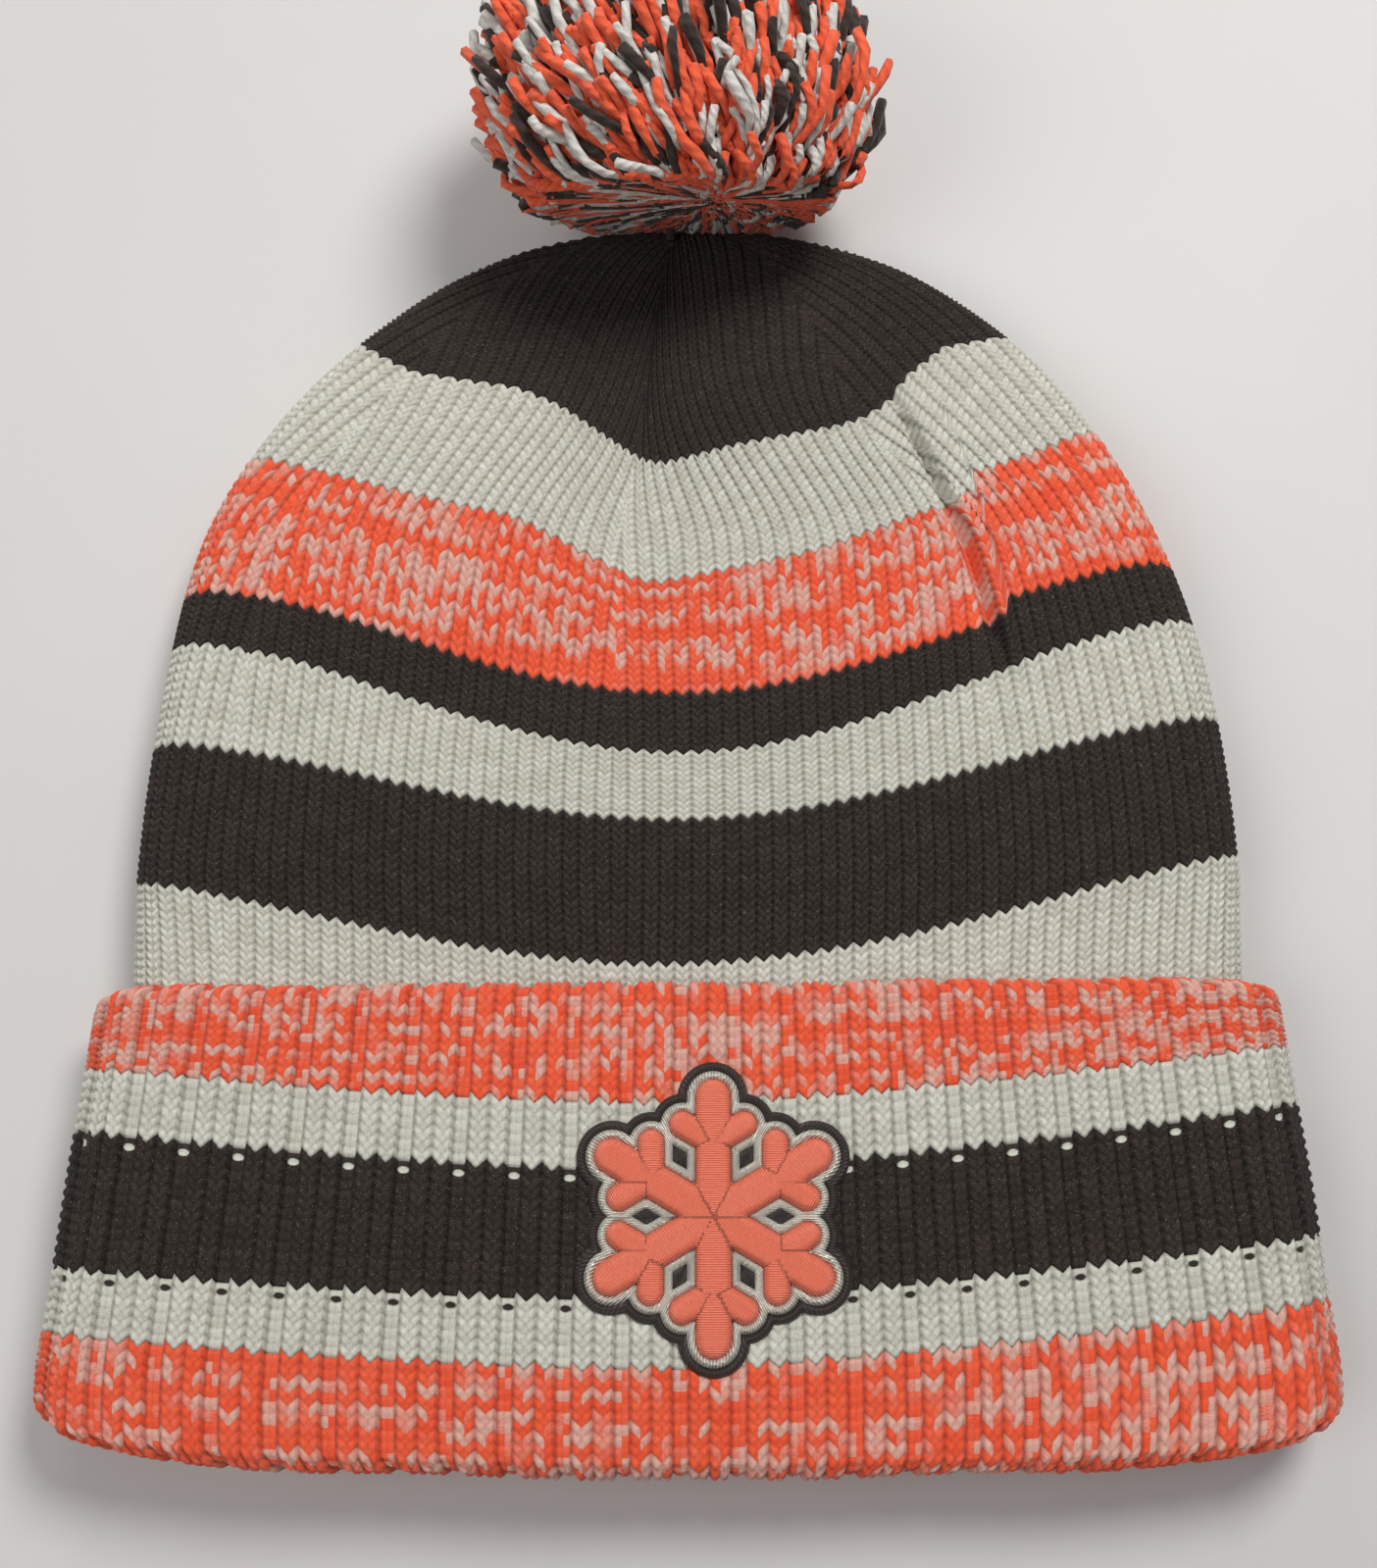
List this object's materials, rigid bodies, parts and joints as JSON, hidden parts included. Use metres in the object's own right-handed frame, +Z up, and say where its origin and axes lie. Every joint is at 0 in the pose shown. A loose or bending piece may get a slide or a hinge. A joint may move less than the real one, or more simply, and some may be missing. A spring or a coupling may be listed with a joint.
{
  "type": "knit beanie",
  "caption": "Cuffed knit beanie lying flat: striped body with a darted crown, wide turned-up ribbed cuff with an embroidered emblem, and a yarn pom on a short thread.",
  "frame": {"origin": "on the supporting surface, under the middle of the hat's whole length and width as it lies flat", "axes": "+Z up, out of the emblem side; +Y from the cuff to the pom; +X to the right as the emblem is seen upright"},
  "size_m": [0.2394, 0.313, 0.074],
  "materials": {
    "cream_yarn": "matt acrylic knit, greyish cream",
    "brown_yarn": "matt acrylic knit, very dark brown",
    "marl_yarn": "matt acrylic knit, solid orange yarn alternating with a twist of orange and pale grey",
    "brown_thread": "matt polyester thread",
    "seam_thread": "overlocked seam thread, textured polyester",
    "label_satin": "blank woven satin label",
    "stabiliser": "non-woven embroidery stabiliser",
    "dark_embroidery": "dense satin stitch, slight gloss",
    "silver_embroidery": "metallic silver satin stitch",
    "embroidery_foam": "closed-cell raised-embroidery foam",
    "orange_satin": "rayon satin stitch, directional gloss",
    "pom_orange": "brushed acrylic yarn ends",
    "pom_grey": "brushed acrylic yarn ends",
    "pom_brown": "brushed acrylic yarn ends"
  },
  "bodies": {
    "hat": {"back_seam": "seam_thread", "body_brown_narrow": "brown_yarn", "body_brown_wide": "brown_yarn", "body_cream_lower": "cream_yarn", "body_cream_middle": "cream_yarn", "body_cream_upper": "cream_yarn", "body_marl": "marl_yarn", "care_label": "label_satin", "crown_brown": "brown_yarn", "crown_dart_seams": "seam_thread", "crown_gather_stitch": "brown_thread", "cuff_brown": "brown_yarn", "cuff_cream_lower": "cream_yarn", "cuff_cream_upper": "cream_yarn", "cuff_marl_edge": "marl_yarn", "cuff_marl_fold": "marl_yarn", "emblem_backing": "stabiliser", "emblem_dark_edge": "dark_embroidery", "emblem_foam": "embroidery_foam", "emblem_satin": "orange_satin", "emblem_silver_border": "silver_embroidery", "pom_anchor_knot": "brown_thread"},
    "pom_shank": {"pom_shank": "brown_thread"},
    "pom": {"pom_brown_yarn": "pom_brown", "pom_grey_yarn": "pom_grey", "pom_orange_yarn": "pom_orange", "pom_tie": "brown_thread"}
  },
  "joints": [
    {"name": "pom_tilt", "type": "hinge", "parent": "hat", "child": "pom_shank", "pos_m": [-0.004, 0.0985, 0.009], "axis": [1, 0, 0], "range_deg": [0, 45]},
    {"name": "pom_swing", "type": "hinge", "parent": "pom_shank", "child": "pom", "pos_m": [-0.004, 0.0985, 0.009], "axis": [0, 0, 1], "range_deg": [-25, 25]}
  ]
}
